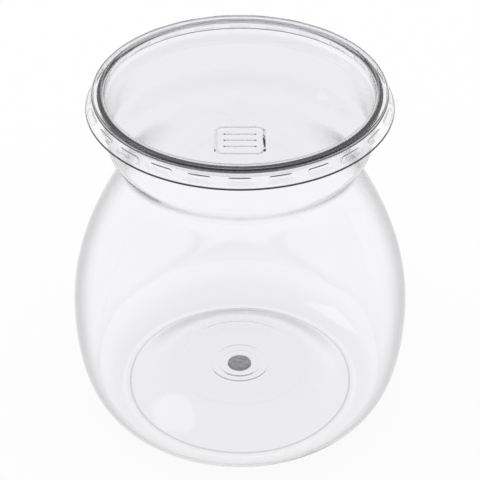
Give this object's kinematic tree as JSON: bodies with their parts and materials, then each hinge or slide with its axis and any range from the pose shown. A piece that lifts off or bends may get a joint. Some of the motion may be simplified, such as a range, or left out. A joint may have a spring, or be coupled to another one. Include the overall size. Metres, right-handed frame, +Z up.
{
  "type": "clear plastic dessert cup with lid",
  "caption": "Round-bellied clear plastic dessert cup with a pushed-up base, narrow neck and rim bead, closed by a thin clear press-on lid with a sunk panel.",
  "frame": {"origin": "on the cup's axis, on the surface that the cup stands on", "axes": "+Z up along the axis of the cup and lid; the raised mark on the lid is towards -Y"},
  "size_m": [0.0894, 0.0894, 0.0953],
  "materials": {
    "cup_plastic": "clear, glossy, blown",
    "lid_film": "clear, glossy, formed film"
  },
  "bodies": {
    "cup": {"cup": "cup_plastic"},
    "lid": {"lid": "lid_film"}
  },
  "joints": [
    {"name": "lid_lift", "type": "slide", "parent": "cup", "child": "lid", "axis": [0, 0, 1], "range_m": [0, 0.06]}
  ]
}
